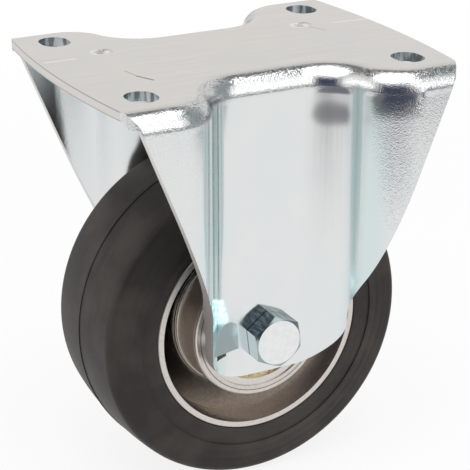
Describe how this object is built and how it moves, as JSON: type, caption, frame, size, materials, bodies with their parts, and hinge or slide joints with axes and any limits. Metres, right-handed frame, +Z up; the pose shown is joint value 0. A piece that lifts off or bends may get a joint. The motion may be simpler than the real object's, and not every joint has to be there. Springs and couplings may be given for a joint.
{
  "type": "heavy-duty castor",
  "caption": "Fixed plate castor: a pressed lobed steel bracket carries a rubber-tyred aluminium wheel on shielded ball bearings and a through bolt.",
  "frame": {"origin": "middle of the plate's flat top face, between the four fixing slots", "axes": "+X along the rolling direction and the length of the plate, +Y along the axle from the bolt head to the nut, +Z up out of the plate's top face"},
  "size_m": [0.137, 0.1138, 0.164],
  "materials": {
    "zinc_steel": "bright zinc plated pressed steel sheet",
    "zinc_fastener": "bright zinc plated fastener",
    "turned_steel": "turned steel",
    "bearing_steel": "ground bearing steel",
    "brass_sheet": "pressed yellow brass sheet",
    "cast_aluminium": "die-cast aluminium, turned on the hub, rim and dish",
    "black_rubber": "moulded elastic rubber, satin",
    "nylon": "natural nylon ring"
  },
  "bodies": {
    "bracket_body": {"bracket": "zinc_steel", "axle_bolt": "zinc_fastener", "nut_washer": "zinc_fastener", "lock_nut": "zinc_fastener", "nut_insert": "nylon", "axle_tube": "turned_steel", "inner_spacer_tube": "turned_steel", "near_collar": "turned_steel", "far_collar": "turned_steel", "near_inner_race": "bearing_steel", "far_inner_race": "bearing_steel"},
    "wheel": {"tyre": "black_rubber", "wheel_centre": "cast_aluminium", "near_outer_race": "bearing_steel", "near_outer_shield": "brass_sheet", "near_inner_shield": "brass_sheet", "far_outer_race": "bearing_steel", "far_outer_shield": "brass_sheet", "far_inner_shield": "brass_sheet"},
    "near_ball_set": {"near_balls": "bearing_steel", "near_cage": "brass_sheet"},
    "far_ball_set": {"far_balls": "bearing_steel", "far_cage": "brass_sheet"}
  },
  "joints": [
    {"name": "wheel_spin", "type": "hinge", "parent": "bracket_body", "child": "wheel", "pos_m": [0, 0, -0.1012], "axis": [0, 1, 0], "continuous": true},
    {"name": "near_cage_spin", "type": "hinge", "parent": "bracket_body", "child": "near_ball_set", "pos_m": [0, 0, -0.1012], "axis": [0, 1, 0], "continuous": true},
    {"name": "far_cage_spin", "type": "hinge", "parent": "bracket_body", "child": "far_ball_set", "pos_m": [0, 0, -0.1012], "axis": [0, 1, 0], "continuous": true}
  ],
  "couplings": [
    {"joint": "near_cage_spin", "follows": "wheel_spin", "ratio": 0.6179},
    {"joint": "far_cage_spin", "follows": "wheel_spin", "ratio": 0.6179}
  ]
}
